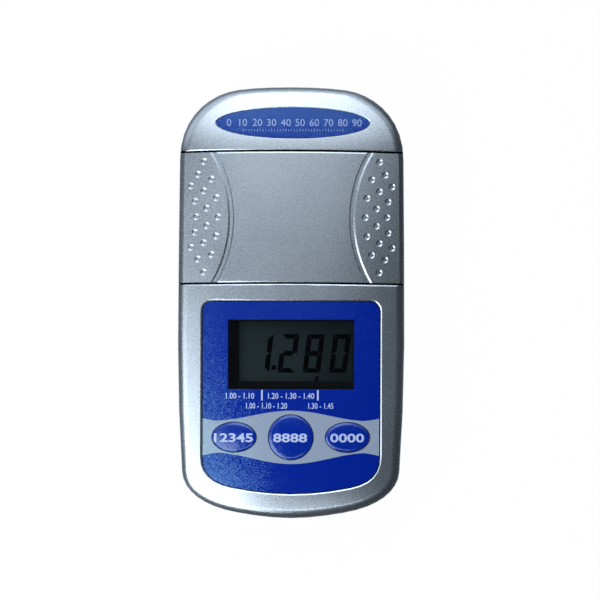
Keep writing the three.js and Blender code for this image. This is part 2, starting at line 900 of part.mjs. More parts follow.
function caseScrew([x, y]) {
  const profile = [
    [0, 1.8],
    [2.2, 1.8],
    [2.6, 2.15],
    [2.6, 3.6],
    [1.25, 3.75],
    [1.25, 16.2],
    [0, 17],
  ];
  const body = turned(profile, x, y, 16);
  const slots = join(
    box(x - 1.5, x + 1.5, y - 0.3, y + 0.3, 0, 2.7),
    box(x - 0.3, x + 0.3, y - 1.5, y + 1.5, 0, 2.7),
  );
  return cut(body, slots);
}

function boardScrew([x, y]) {
  const head = post(x, y, boardBottom - 1.35, boardBottom - 0.05, 1.9, 1.9, 16);
  return join(head, post(x, y, boardBottom - 0.5, 20.6, 0.9, 0.9, 16));
}

function material(color, roughness, metalness = 0) {
  return new THREE.MeshStandardMaterial({ color, roughness, metalness });
}

const group = new THREE.Group();

function add(name, body, look) {
  const { numProp, vertProperties, triVerts } = body.getMesh();
  const position = [];
  for (let i = 0; i < vertProperties.length; i += numProp) {
    position.push(vertProperties[i], vertProperties[i + 1], vertProperties[i + 2]);
  }
  const g = new THREE.BufferGeometry();
  g.setAttribute("position", new THREE.Float32BufferAttribute(position, 3));
  g.setIndex(new THREE.BufferAttribute(new Uint32Array(triVerts), 1));
  const mesh = new THREE.Mesh(g, look);
  mesh.name = name;
  group.add(mesh);
}

add("front_shell", frontShell(), material(0xb4bac2, 0.38, 0.6));
add("back_shell", backShell(), material(0xa9afb7, 0.42, 0.6));
add("battery_door", batteryDoor(), material(0xa4aab3, 0.42, 0.6));
add("cover", cover(), material(0xaeb5bf, 0.36, 0.6));
add("cover_liner", coverLiner(), material(0x18191b, 0.7));
add("cover_gasket", coverGasket(), material(0x101011, 0.85));
add("badge_plate", badgePlate(), material(0x1f3fae, 0.4));
add("panel_overlay", panelOverlay(), material(0x123ab0, 0.45));
add("lcd_window", lcdWindow(), material(0xdfe8ec, 0.05));
add("lcd_frame", lcdFrame(), material(0x0b0d0e, 0.6));
add("lcd_glass", lcdGlass(), material(0x35403c, 0.3));
add("zebra_strip", zebraStrip(), material(0x9a4b56, 0.7));
add("main_board", mainBoard(), material(0x1c6b3a, 0.5));
add("processor_chip", processorChip(), material(0x151515, 0.6));
keys.forEach(([name, x, a, b]) => {
  add(name, key(x, a, b), material(0x1a46b8, 0.42));
  add(name.replace("key", "switch"), keySwitch(x), material(0x3b3d40, 0.5, 0.3));
});
add("sample_stage", sampleStage(), material(0xc9cbcc, 0.28, 1));
add("prism_seal", prismSeal(), material(0x1a1a1a, 0.8));
add("prism", prismShape(0), material(0xd5e6e8, 0.05));
add("optics_block", opticsBlock(), material(0x141516, 0.7));
add("light_emitter", lightEmitter(), material(0xe6c46a, 0.2));
add("sensor_board", sensorBoard(), material(0x1c6b3a, 0.5));
add("sensor_array", sensorArray(), material(0x1b1b1d, 0.3));
add("sensor_ribbon", sensorRibbon(), material(0xb9742f, 0.5));
[-1, 1].forEach((side) => {
  const hand = side < 0 ? "left" : "right";
  add("hinge_pin_" + hand, hingePin(side), material(0xbfc2c4, 0.25, 1));
  add("battery_" + hand, cell(side), material(0x2f6f4a, 0.35, 0.4));
  add("battery_spring_" + hand, cellSpring(side), material(0xc4c6c8, 0.3, 1));
  add("contact_plate_" + hand, contactPlate(side), material(0xc8c2a8, 0.35, 1));
});
screwPlaces.forEach((place, i) => {
  add("case_screw_" + (i + 1), caseScrew(place), material(0x8d9093, 0.35, 1));
});
boardScrews.forEach((place, i) => {
  add("board_screw_" + (i + 1), boardScrew(place), material(0x8d9093, 0.35, 1));
});

export default group;
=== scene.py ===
import math

import bmesh
import bpy
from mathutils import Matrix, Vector
from mathutils.bvhtree import BVHTree


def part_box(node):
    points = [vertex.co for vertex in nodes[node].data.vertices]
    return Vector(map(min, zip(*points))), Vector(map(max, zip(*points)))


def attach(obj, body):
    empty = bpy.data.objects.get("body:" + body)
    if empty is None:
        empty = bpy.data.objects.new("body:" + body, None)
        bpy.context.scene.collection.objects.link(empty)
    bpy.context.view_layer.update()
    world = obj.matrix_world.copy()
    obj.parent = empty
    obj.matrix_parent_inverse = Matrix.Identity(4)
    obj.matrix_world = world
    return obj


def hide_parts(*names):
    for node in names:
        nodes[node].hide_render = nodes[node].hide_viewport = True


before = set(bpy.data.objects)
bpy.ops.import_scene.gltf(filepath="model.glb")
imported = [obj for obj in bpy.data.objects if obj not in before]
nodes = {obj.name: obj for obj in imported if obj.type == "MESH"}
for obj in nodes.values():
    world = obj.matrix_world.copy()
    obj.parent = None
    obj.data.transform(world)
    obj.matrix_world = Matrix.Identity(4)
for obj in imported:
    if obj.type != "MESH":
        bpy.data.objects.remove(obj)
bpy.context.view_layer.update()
mm = 0.001

# The display side's curve: its height at the middle and its radius from side to side.
CROWN_TOP = 25 * mm
CROWN_RADIUS = 200 * mm


# ---- shader building blocks


def place(tree, kind, values=None, **settings):
    node = tree.nodes.new(kind)
    for name, value in settings.items():
        setattr(node, name, value)
    for socket, value in (values or {}).items():
        node.inputs[socket].default_value = value
    return node


def math_node(tree, operation, a, b=None, c=None):
    node = tree.nodes.new("ShaderNodeMath")
    node.operation = operation
    for slot, value in enumerate((a, b, c)):
        if value is None:
            continue
        if isinstance(value, (int, float)):
            node.inputs[slot].default_value = value
        else:
            tree.links.new(value, node.inputs[slot])
    return node.outputs[0]


def mix_colours(tree, factor, first, second):
    node = tree.nodes.new("ShaderNodeMix")
    node.data_type = "RGBA"
    for socket, value in ((0, factor), (6, first), (7, second)):
        if isinstance(value, (int, float)):
            node.inputs[socket].default_value = value
        elif isinstance(value, tuple):
            node.inputs[socket].default_value = (*value[:3], 1)
        else:
            tree.links.new(value, node.inputs[socket])
    return node.outputs[2]


def ramp(tree, factor, low, high):
    node = tree.nodes.new("ShaderNodeMapRange")
    node.interpolation_type = "SMOOTHSTEP"
    node.inputs["From Min"].default_value = low
    node.inputs["From Max"].default_value = high
    tree.links.new(factor, node.inputs["Value"])
    return node.outputs["Result"]


def new_group(name, inputs, outputs):
    group = bpy.data.node_groups.new(name, "ShaderNodeTree")
    for label, kind, value in inputs:
        socket = group.interface.new_socket(label, in_out="INPUT", socket_type=kind)
        if value is not None:
            socket.default_value = value
    for label, kind in outputs:
        group.interface.new_socket(label, in_out="OUTPUT", socket_type=kind)
    return group, group.nodes.new("NodeGroupInput"), group.nodes.new("NodeGroupOutput")


VECTOR, FLOAT, COLOUR = "NodeSocketVector", "NodeSocketFloat", "NodeSocketColor"


def flake_group():
    """Metallic paint: fine bright and dark flakes, a faint orange peel and softened edges."""
    group, gin, gout = new_group(
        "paint_flakes",
        [
            ("Place", VECTOR, None),
            ("Base", COLOUR, (0.6, 0.62, 0.66, 1)),
            ("Bright", COLOUR, (0.85, 0.9, 0.97, 1)),
            ("Dark", COLOUR, (0.26, 0.3, 0.36, 1)),
            ("Flakes per metre", FLOAT, 6500),
            ("Roughness", FLOAT, 0.34),
            ("Edge", FLOAT, 0.08 * mm),
        ],
        [("Colour", COLOUR), ("Roughness", FLOAT), ("Normal", VECTOR)],
    )
    link = group.links.new
    cells = place(group, "ShaderNodeTexVoronoi", {"Randomness": 1.0})
    link(gin.outputs["Place"], cells.inputs["Vector"])
    link(gin.outputs["Flakes per metre"], cells.inputs["Scale"])
    split = place(group, "ShaderNodeSeparateColor")
    link(cells.outputs["Color"], split.inputs[0])
    bright = ramp(group, split.outputs[0], 0.72, 1.0)
    dark = ramp(group, split.outputs[1], 0.7, 1.0)
    drift = place(group, "ShaderNodeTexNoise", {"Scale": 45.0, "Detail": 3.0})
    link(gin.outputs["Place"], drift.inputs["Vector"])
    dark = math_node(group, "MULTIPLY", dark, 0.25)
    bright = math_node(group, "MULTIPLY", bright, 0.3)
    body = mix_colours(group, dark, gin.outputs["Base"], gin.outputs["Dark"])
    body = mix_colours(group, bright, body, gin.outputs["Bright"])
    link(body, gout.inputs["Colour"])
    wander = math_node(group, "MULTIPLY_ADD", drift.outputs["Fac"], 0.08, -0.04)
    rough = math_node(group, "ADD", gin.outputs["Roughness"], wander)
    rough = math_node(group, "MULTIPLY_ADD", split.outputs[2], 0.05, rough)
    link(rough, gout.inputs["Roughness"])
    edge = place(group, "ShaderNodeBevel", samples=6)
    link(gin.outputs["Edge"], edge.inputs["Radius"])
    peel = place(group, "ShaderNodeTexNoise", {"Scale": 2600.0, "Detail": 2.0})
    link(gin.outputs["Place"], peel.inputs["Vector"])
    bump = place(group, "ShaderNodeBump", {"Strength": 0.045, "Distance": 0.03 * mm})
    link(peel.outputs["Fac"], bump.inputs["Height"])
    link(edge.outputs["Normal"], bump.inputs["Normal"])
    link(bump.outputs["Normal"], gout.inputs["Normal"])
    return group


def seam_shade_group():
    """Painted shade inside the two seams of the flip cover: near black a little under the curve,
    along each seam line.
    """
    group, gin, gout = new_group("painted_seam_shade", [("Place", VECTOR, None)], [("Painted_shade", FLOAT)])
    link = group.links.new
    axes = group.nodes.new("ShaderNodeSeparateXYZ")
    link(gin.outputs["Place"], axes.inputs[0])
    x, y, z = axes.outputs
    fall = math_node(group, "MULTIPLY", math_node(group, "MULTIPLY", x, x), 0.5 / CROWN_RADIUS)
    depth = math_node(group, "SUBTRACT", math_node(group, "SUBTRACT", CROWN_TOP, fall), z)
    sunk = ramp(group, depth, 0.12 * mm, 0.2 * mm)
    sunk = math_node(group, "MULTIPLY", sunk, ramp(group, depth, 1.5 * mm, 1.0 * mm))
    seams = []
    for seam_y, half_width, bow in ((5.66 * mm, 0.3 * mm, 0.12), (43.7 * mm, 0.31 * mm, 0.18)):
        line = math_node(group, "ADD", y, math_node(group, "MULTIPLY", fall, bow))
        seams.append(math_node(group, "COMPARE", line, seam_y, half_width))
    near = math_node(group, "MAXIMUM", *seams)
    link(math_node(group, "MULTIPLY", sunk, near), gout.inputs["Painted_shade"])
    return group


def grain_group():
    """Printed film and moulded plastic: fine grain, and beads that lean every way."""
    group, gin, gout = new_group(
        "fine_grain",
        [
            ("Place", VECTOR, None),
            ("Base", COLOUR, (0.1, 0.1, 0.1, 1)),
            ("Grains per metre", FLOAT, 3200),
            ("Contrast", FLOAT, 0.2),
            ("Roughness", FLOAT, 0.45),
            ("Relief", FLOAT, 0.05 * mm),
            ("Edge", FLOAT, 0.15 * mm),
            ("Glint", FLOAT, 0.0),
        ],
        [("Colour", COLOUR), ("Roughness", FLOAT), ("Normal", VECTOR)],
    )
    link = group.links.new
    grain = place(group, "ShaderNodeTexNoise", {"Detail": 4.0, "Roughness": 0.65})
    link(gin.outputs["Place"], grain.inputs["Vector"])
    link(gin.outputs["Grains per metre"], grain.inputs["Scale"])
    smudge = place(group, "ShaderNodeTexNoise", {"Scale": 70.0, "Detail": 3.0})
    link(gin.outputs["Place"], smudge.inputs["Vector"])
    shade = place(group, "ShaderNodeHueSaturation", {"Saturation": 0.92, "Value": 1.9})
    link(gin.outputs["Base"], shade.inputs["Color"])
    spots = ramp(group, grain.outputs["Fac"], 0.48, 0.72)
    factor = math_node(group, "MULTIPLY", spots, gin.outputs["Contrast"])
    colour = mix_colours(group, factor, gin.outputs["Base"], shade.outputs["Color"])
    link(colour, gout.inputs["Colour"])
    rough = math_node(group, "MULTIPLY_ADD", smudge.outputs["Fac"], 0.16, gin.outputs["Roughness"])
    rough = math_node(group, "ADD", rough, -0.08)
    rough = math_node(group, "MULTIPLY_ADD", grain.outputs["Fac"], 0.08, rough)
    link(rough, gout.inputs["Roughness"])
    edge = place(group, "ShaderNodeBevel", samples=4)
    link(gin.outputs["Edge"], edge.inputs["Radius"])
    bump = place(group, "ShaderNodeBump", {"Strength": 0.6})
    link(gin.outputs["Relief"], bump.inputs["Distance"])
    link(grain.outputs["Fac"], bump.inputs["Height"])
    link(edge.outputs["Normal"], bump.inputs["Normal"])
    beads = place(group, "ShaderNodeTexVoronoi", {"Randomness": 1.0})
    link(gin.outputs["Place"], beads.inputs["Vector"])
    link(math_node(group, "MULTIPLY", gin.outputs["Grains per metre"], 1.9), beads.inputs["Scale"])
    lean = place(group, "ShaderNodeVectorMath", {1: (0.5, 0.5, 0.5)}, operation="SUBTRACT")
    link(beads.outputs["Color"], lean.inputs[0])
    turned = place(group, "ShaderNodeVectorMath", operation="SCALE")
    link(lean.outputs[0], turned.inputs[0])
    link(gin.outputs["Glint"], turned.inputs["Scale"])
    facing = place(group, "ShaderNodeVectorMath", operation="ADD")
    link(bump.outputs["Normal"], facing.inputs[0])
    link(turned.outputs[0], facing.inputs[1])
    even = place(group, "ShaderNodeVectorMath", operation="NORMALIZE")
    link(facing.outputs[0], even.inputs[0])
    link(even.outputs[0], gout.inputs["Normal"])
    return group


def scratch_group():
    """Turned or drawn metal: fine lines that stretch one way, with a little tarnish."""
    group, gin, gout = new_group(
        "drawn_metal",
        [
            ("Place", VECTOR, None),
            ("Base", COLOUR, (0.6, 0.6, 0.6, 1)),
            ("Tarnish", COLOUR, (0.35, 0.33, 0.3, 1)),
            ("Stretch", VECTOR, (1, 1, 1)),
            ("Lines per metre", FLOAT, 3000),
            ("Roughness", FLOAT, 0.28),
        ],
        [("Colour", COLOUR), ("Roughness", FLOAT), ("Normal", VECTOR)],
    )
    link = group.links.new
    pull = place(group, "ShaderNodeVectorMath", operation="MULTIPLY")
    link(gin.outputs["Place"], pull.inputs[0])
    link(gin.outputs["Stretch"], pull.inputs[1])
    lines = place(group, "ShaderNodeTexNoise", {"Detail": 5.0})
    link(pull.outputs[0], lines.inputs["Vector"])
    link(gin.outputs["Lines per metre"], lines.inputs["Scale"])
    patches = place(group, "ShaderNodeTexNoise", {"Scale": 240.0, "Detail": 4.0})
    link(gin.outputs["Place"], patches.inputs["Vector"])
    stain = math_node(group, "MULTIPLY", ramp(group, patches.outputs["Fac"], 0.5, 0.8), 0.4)
    colour = mix_colours(group, stain, gin.outputs["Base"], gin.outputs["Tarnish"])
    link(colour, gout.inputs["Colour"])
    rough = math_node(group, "MULTIPLY_ADD", lines.outputs["Fac"], 0.2, gin.outputs["Roughness"])
    link(math_node(group, "ADD", rough, -0.08), gout.inputs["Roughness"])
    bump = place(group, "ShaderNodeBump", {"Strength": 0.25, "Distance": 0.02 * mm})
    link(lines.outputs["Fac"], bump.inputs["Height"])
    link(bump.outputs["Normal"], gout.inputs["Normal"])
    return group


paint_flakes = flake_group()
painted_seam_shade = seam_shade_group()
fine_grain = grain_group()
drawn_metal = scratch_group()


def start_material(name):
    material = bpy.data.materials.new(name)
    material.use_nodes = True
    tree = material.node_tree
    where = tree.nodes.new("ShaderNodeTexCoord").outputs["Object"]
    return material, tree, tree.nodes["Principled BSDF"], where


def use_group(tree, group, where, shader, values):
    effect = tree.nodes.new("ShaderNodeGroup")
    effect.node_tree = group
    tree.links.new(where, effect.inputs["Place"])
    for socket, value in values.items():
        if isinstance(value, bpy.types.NodeSocket):
            tree.links.new(value, effect.inputs[socket])
        elif isinstance(value, tuple) and effect.inputs[socket].type == "RGBA":
            effect.inputs[socket].default_value = (*value, 1)
        else:
            effect.inputs[socket].default_value = value
    tree.links.new(effect.outputs["Colour"], shader.inputs["Base Color"])
    tree.links.new(effect.outputs["Roughness"], shader.inputs["Roughness"])
    tree.links.new(effect.outputs["Normal"], shader.inputs["Normal"])
    return effect


def set_shader(shader, **values):
    for socket, value in values.items():
        shader.inputs[socket.replace("_", " ")].default_value = value


def grain_values(base, roughness, contrast, grains, relief, glint=0.0):
    """What the fine_grain group takes: grains to a metre, relief in metres."""
    return {
        "Base": base,
        "Roughness": roughness,
        "Contrast": contrast,
        "Grains per metre": grains,
        "Relief": relief,
        "Glint": glint,
    }


def waves(tree, where, values, **settings):
    wave = place(tree, "ShaderNodeTexWave", values, **settings)
    tree.links.new(where, wave.inputs["Vector"])
    return wave.outputs["Fac"]


def silver_paint(name, base=(0.425, 0.51, 0.61), roughness=0.25):
    material, tree, shader, where = start_material(name)
    set_shader(shader, Metallic=0.95, Specular_Tint=(0.12, 0.12, 0.13, 1))
    paint = use_group(tree, paint_flakes, where, shader, {"Base": base, "Roughness": roughness})
    # Painted shade: the flip cover's two seams turn near black a little under the curve.
    seams = tree.nodes.new("ShaderNodeGroup")
    seams.node_tree = painted_seam_shade
    tree.links.new(where, seams.inputs["Place"])
    shown = mix_colours(tree, seams.outputs["Painted_shade"], paint.outputs["Colour"], (0.006, 0.007, 0.008))
    tree.links.new(shown, shader.inputs["Base Color"])
    return material


def plastic(name, base, roughness=0.5, contrast=0.2, grains=2600.0, relief=0.04 * mm, gloss=0.5):
    material, tree, shader, where = start_material(name)
    set_shader(shader, Specular_IOR_Level=gloss)
    values = grain_values(base, roughness, contrast, grains, relief)
    use_group(tree, fine_grain, where, shader, values)
    return material


def metal(name, base, roughness=0.28, stretch=(1.0, 1.0, 1.0), lines=3000.0):
    material, tree, shader, where = start_material(name)
    set_shader(shader, Metallic=1.0)
    values = {"Base": base, "Roughness": roughness, "Stretch": stretch, "Lines per metre": lines}
    use_group(tree, drawn_metal, where, shader, values)
    return material


FILM = {"IOR": 2.5, "Specular_Tint": (0.34, 0.78, 1.0, 1)}


def blue_film(name, base=(0.0003, 0.0105, 0.255), coat=0.0, glint=0.12):
    material, tree, shader, where = start_material(name)
    set_shader(shader, Specular_IOR_Level=0.135, **FILM)
    set_shader(shader, Coat_Weight=coat, Coat_Roughness=0.12, Coat_IOR=1.7)
    values = grain_values(base, 0.08, 0.2, 2300.0, 0.006 * mm, glint)
    use_group(tree, fine_grain, where, shader, values)
    return material


def wave_film():
    """The panel's film: blue, with a pale band that swells round the middle key."""
    material, tree, shader, where = start_material("panel_film")
    axes = tree.nodes.new("ShaderNodeSeparateXYZ")
    tree.links.new(where, axes.inputs[0])
    x, y = axes.outputs[0], axes.outputs[1]
    span = math_node(tree, "MULTIPLY", x, math.pi / (22.6 * mm))
    swell = math_node(tree, "MULTIPLY_ADD", math_node(tree, "COSINE", span), 0.5, 0.5)
    outside = math_node(tree, "SUBTRACT", math_node(tree, "ABSOLUTE", x), 21 * mm)
    flare = math_node(tree, "MAXIMUM", outside, 0.0)
    upper = math_node(tree, "MULTIPLY_ADD", swell, 2.95 * mm, -34.0 * mm)
    upper = math_node(tree, "MULTIPLY_ADD", flare, 0.13, upper)
    lower = math_node(tree, "MULTIPLY_ADD", swell, -3.2 * mm, -43.15 * mm)
    lower = math_node(tree, "MULTIPLY_ADD", flare, -0.17, lower)
    below_top = math_node(tree, "SUBTRACT", upper, y)
    above_foot = math_node(tree, "SUBTRACT", y, lower)
    inside = math_node(tree, "MINIMUM", below_top, above_foot)
    band = ramp(tree, inside, -0.06 * mm, 0.06 * mm)
    base = mix_colours(tree, band, (0.0003, 0.0145, 0.275), (0.255, 0.325, 0.445))
    set_shader(shader, Specular_IOR_Level=0.2, **FILM)
    values = grain_values(base, 0.08, 0.16, 3200.0, 0.006 * mm, 0.13)
    use_group(tree, fine_grain, where, shader, values)
    return material


def glass(name, tint, alpha=1.0, transmission=1.0, roughness=0.02, gloss=0.5):
    material, tree, shader, where = start_material(name)
    set_shader(shader, Transmission_Weight=transmission, Alpha=alpha)
    set_shader(shader, IOR=1.5, Specular_IOR_Level=gloss)
    material.use_transparent_shadow = True
    haze = place(tree, "ShaderNodeTexNoise", {"Scale": 180.0, "Detail": 3.0})
    tree.links.new(where, haze.inputs["Vector"])
    smear = math_node(tree, "MULTIPLY_ADD", haze.outputs["Fac"], 0.05, roughness)
    tree.links.new(smear, shader.inputs["Roughness"])
    paler = tuple(min(1.0, c * 1.15 + 0.01) for c in tint)
    tree.links.new(mix_colours(tree, haze.outputs["Fac"], tint, paler), shader.inputs["Base Color"])
    return material


def liquid_crystal():
    """Dark grey-green display glass with a soft random bloom, painted light fading from a point
    left of the middle and painted shade along its left and bottom edges.
    """
    material, tree, shader, where = start_material("display_glass")
    set_shader(shader, Specular_IOR_Level=0.1)
    bloom = place(tree, "ShaderNodeTexNoise", {"Scale": 55.0, "Detail": 2.0})
    tree.links.new(where, bloom.inputs["Vector"])
    fleck = place(tree, "ShaderNodeTexNoise", {"Scale": 2500.0, "Detail": 2.0})
    tree.links.new(where, fleck.inputs["Vector"])
    # Painted light: paler near a point left of the middle, fading over 26 mm; painted shade along
    # the left and bottom edges.
    away = place(tree, "ShaderNodeVectorMath", operation="DISTANCE")
    away.inputs[1].default_value = (-8 * mm, -16 * mm, 20.7 * mm)
    tree.links.new(where, away.inputs[0])
    glow = ramp(tree, away.outputs["Value"], 26 * mm, 2 * mm)
    axes = tree.nodes.new("ShaderNodeSeparateXYZ")
    tree.links.new(where, axes.inputs[0])
    from_left = ramp(tree, axes.outputs[0], -15.6 * mm, -12.2 * mm)
    from_foot = ramp(tree, axes.outputs[1], -25.2 * mm, -21.5 * mm)
    shade = math_node(tree, "MULTIPLY", from_left, from_foot)
    lit = math_node(tree, "MULTIPLY", glow, math_node(tree, "MULTIPLY_ADD", shade, 0.85, 0.15))
    base = mix_colours(tree, bloom.outputs["Fac"], (0.009, 0.0175, 0.0205), (0.0115, 0.021, 0.026))
    base = mix_colours(tree, lit, (0.0015, 0.006, 0.0085), base)
    grain = math_node(tree, "MULTIPLY", fleck.outputs["Fac"], 0.1)
    tree.links.new(mix_colours(tree, grain, base, (0.03, 0.045, 0.05)), shader.inputs["Base Color"])
    rough = math_node(tree, "MULTIPLY_ADD", bloom.outputs["Fac"], 0.1, 0.3)
    tree.links.new(rough, shader.inputs["Roughness"])
    return material


def circuit_board():
    """Green solder mask with copper tracks showing paler beneath it."""
    material, tree, shader, where = start_material("solder_mask")
    tracks = place(tree, "ShaderNodeTexBrick", {"Scale": 260.0, "Mortar Size": 0.035})
    tree.links.new(where, tracks.inputs["Vector"])
    base = mix_colours(tree, tracks.outputs["Fac"], (0.012, 0.1, 0.04), (0.05, 0.2, 0.08))
    values = grain_values(base, 0.35, 0.15, 1500.0, 0.02 * mm)
    use_group(tree, fine_grain, where, shader, values)
    return material


def cell_jacket():
    """Printed cell jacket: dark film, a pale band towards one end and bare metal ends."""
    material, tree, shader, where = start_material("cell_jacket")
    band = waves(tree, where, {"Scale": 11.0}, wave_type="BANDS", bands_direction="Y")
    stripe = ramp(tree, band, 0.86, 0.9)
    base = mix_colours(tree, stripe, (0.02, 0.075, 0.05), (0.55, 0.56, 0.5))
    set_shader(shader, Metallic=0.3)
    values = grain_values(base, 0.3, 0.12, 1200.0, 0.01 * mm)
    use_group(tree, fine_grain, where, shader, values)
    return material


def ribbon_film():
    """Amber ribbon with copper conductors along its length."""
    material, tree, shader, where = start_material("ribbon_film")
    lines = waves(tree, where, {"Scale": 160.0}, wave_type="BANDS", bands_direction="X")
    base = mix_colours(tree, ramp(tree, lines, 0.4, 0.6), (0.42, 0.2, 0.04), (0.55, 0.33, 0.14))
    values = grain_values(base, 0.35, 0.15, 1500.0, 0.01 * mm)
    use_group(tree, fine_grain, where, shader, values)
    return material


def stage_steel():
    """Turned stainless dish: rings centred on the prism."""
    material, tree, shader, where = start_material("turned_steel")
    set_shader(shader, Metallic=1.0)
    centre = place(tree, "ShaderNodeMapping", {"Location": (0.0, -19.5 * mm, 0.0)})
    tree.links.new(where, centre.inputs["Vector"])
    turned = {"Scale": 700.0, "Distortion": 0.4}
    rings = waves(tree, centre.outputs[0], turned, wave_type="RINGS", rings_direction="Z")
    values = {"Base": (0.66, 0.67, 0.68), "Roughness": 0.24}
    effect = use_group(tree, drawn_metal, where, shader, values)
    bump = place(tree, "ShaderNodeBump", {"Strength": 0.3, "Distance": 0.01 * mm})
    tree.links.new(rings, bump.inputs["Height"])
    tree.links.new(effect.outputs["Normal"], bump.inputs["Normal"])
    tree.links.new(bump.outputs["Normal"], shader.inputs["Normal"])
    return material


pale_print = plastic("pale_print", (0.36, 0.46, 0.74), roughness=0.4, contrast=0.25)
badge_print = plastic("badge_print", (0.26, 0.36, 0.66), roughness=0.4, contrast=0.25)
# Painted shade: the dark line round the edge of the panel's film.
edge_shade_ink = plastic("edge_shade_ink", (0.0008, 0.003, 0.022), 0.4, relief=0.01 * mm, gloss=0.1)
segment_ink = plastic(
    "segment_ink", (0.0003, 0.0006, 0.001), 0.45, 0.3, relief=0.001 * mm, gloss=0.0
)
pin_tin = metal("pin_tin", (0.62, 0.62, 0.6))

KEYS = ["scale_key", "read_key", "zero_key"]
SWITCHES = ["scale_switch", "read_switch", "zero_switch"]
SCREWS = ["case_screw_1", "case_screw_2", "case_screw_3", "case_screw_4"]
SCREWS += ["board_screw_1", "board_screw_2"]


def pair(stem):
    return [stem + "_left", stem + "_right"]


finishes = [
    (silver_paint("case_paint"), ["front_shell", "back_shell", "battery_door"]),
    (silver_paint("cover_paint"), ["cover"]),
    (wave_film(), ["panel_overlay"]),
    (blue_film("badge_film"), ["badge_plate"]),
    (blue_film("key_film", (0.0005, 0.018, 0.285), coat=0.35, glint=0.15), KEYS),
    (
        glass("clear_sheet", (0.008, 0.013, 0.015), alpha=0.045, transmission=0.0, gloss=0.3),
        ["lcd_window"],
    ),
    (plastic("bezel", (0.0012, 0.0018, 0.0035), 0.6, gloss=0.1), ["lcd_frame"]),
    (liquid_crystal(), ["lcd_glass"]),
    (plastic("elastomer", (0.4, 0.12, 0.14), 0.7), ["zebra_strip"]),
    (circuit_board(), ["main_board", "sensor_board"]),
    (plastic("chip_body", (0.012, 0.012, 0.013), 0.45), ["processor_chip"]),
    (plastic("switch_body", (0.03, 0.03, 0.034), 0.4), SWITCHES),
    (stage_steel(), ["sample_stage"]),
    (glass("optical_glass", (0.86, 0.95, 0.96)), ["prism"]),
    (plastic("seal", (0.012, 0.012, 0.012), 0.75), ["prism_seal", "cover_gasket"]),
    (plastic("liner", (0.014, 0.015, 0.017), 0.6, relief=0.08 * mm), ["cover_liner"]),
    (plastic("optics_black", (0.01, 0.01, 0.011), 0.65), ["optics_block"]),
    (plastic("emitter_resin", (0.75, 0.42, 0.06), 0.12, 0.1), ["light_emitter"]),
    (plastic("sensor_face", (0.02, 0.02, 0.03), 0.15), ["sensor_array"]),
    (ribbon_film(), ["sensor_ribbon"]),
    (metal("ground_pin", (0.62, 0.63, 0.64), stretch=(1.0, 8.0, 8.0)), pair("hinge_pin")),
    (cell_jacket(), pair("battery")),
    (metal("spring_wire", (0.66, 0.66, 0.66), 0.22), pair("battery_spring")),
    (metal("contact_sheet", (0.62, 0.59, 0.5), stretch=(1.0, 1.0, 9.0)), pair("contact_plate")),
    (metal("screw_steel", (0.4, 0.41, 0.42), 0.3), SCREWS),
]

for material, names in finishes:
    for name in names:
        mesh = nodes[name].data
        mesh.materials.clear()
        mesh.materials.append(material)


def finished(name, mesh, material, body):
    mesh.materials.clear()
    mesh.materials.append(material)
    piece = bpy.data.objects.new(name, mesh)
    bpy.context.scene.collection.objects.link(piece)
    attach(piece, body)
    return piece


# ---- smooth skins for the rounded solids


def crown(x, y):
    """Height and upward direction of the display side's curve."""
    head_run, head_fall = 18 * mm, 1.6 * mm
    foot_run, foot_fall = 14 * mm, 0.9 * mm
    head = max(0.0, y - 44 * mm) / head_run
    foot = max(0.0, -48 * mm - y) / foot_run
    height = CROWN_TOP - x * x / (2 * CROWN_RADIUS)
    height -= head_fall * head * head + foot_fall * foot * foot
    along = 2 * foot_fall * foot / foot_run - 2 * head_fall * head / head_run
    return height, Vector((x / CROWN_RADIUS, -along, 1)).normalized()


def follows_crown(face):
    """Whether a face follows the display side's curve, at it or a little under it."""
    for corner in face.verts:
        height, up = crown(corner.co.x, corner.co.y)
        at_height = height - 0.55 * mm < corner.co.z < height + 0.02 * mm
        if not at_height or up.dot(face.normal) < 0.996:
            return False
    return True


def smooth_mesh(name, sharp=34, crown_edge=9):
    """A merged copy of a solid with soft normals, and the exact curve's normals on its crown."""
    mesh = nodes[name].data.copy()
    mesh.attributes.remove(mesh.attributes["custom_normal"])
    bm = bmesh.new()
    bm.from_mesh(mesh)
    bmesh.ops.remove_doubles(bm, verts=bm.verts, dist=2e-6)
    bm.faces.index_update()
    crowned = [follows_crown(face) for face in bm.faces]
    for face in bm.faces:
        face.smooth = True
    for edge in bm.edges:
        kinds = {crowned[face.index] for face in edge.link_faces}
        limit = crown_edge if len(kinds) == 2 else sharp
        edge.smooth = edge.is_manifold and edge.calc_face_angle(0) < math.radians(limit)
    bm.to_mesh(mesh)
    bm.free()
    mesh.update()
    normals = [Vector((0, 0, 0))] * len(mesh.loops)
    on_crown = {v for face in mesh.polygons if crowned[face.index] for v in face.vertices}
    for face in mesh.polygons:
        for loop in face.loop_indices:
            vertex = mesh.loops[loop].vertex_index
            if vertex in on_crown:
                corner = mesh.vertices[vertex].co
                up = crown(corner.x, corner.y)[1]
                if crowned[face.index] or up.dot(face.normal) > math.cos(math.radians(crown_edge)):
                    normals[loop] = up
    mesh.normals_split_custom_set(normals)
    return mesh


def smooth_skin(name, body, sharp=34):
    mesh = smooth_mesh(name, sharp)
    piece = finished(name + "_skin", mesh, nodes[name].data.materials[0], body)
    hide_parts(name)


smooth_skin("front_shell", "case", sharp=20)
smooth_skin("back_shell", "case")
for name in ("panel_overlay", "badge_plate"):
    smooth_skin(name, "case")
for name in KEYS:
    smooth_skin(name, name)
smooth_skin("cover", "cover", sharp=20)
smooth_skin("cover_gasket", "cover")
smooth_skin("battery_door", "battery_door")
smooth_skin("sample_stage", "case")


# ---- printed and displayed marks, and painted shade round the panel's film

INK = 0.02 * mm


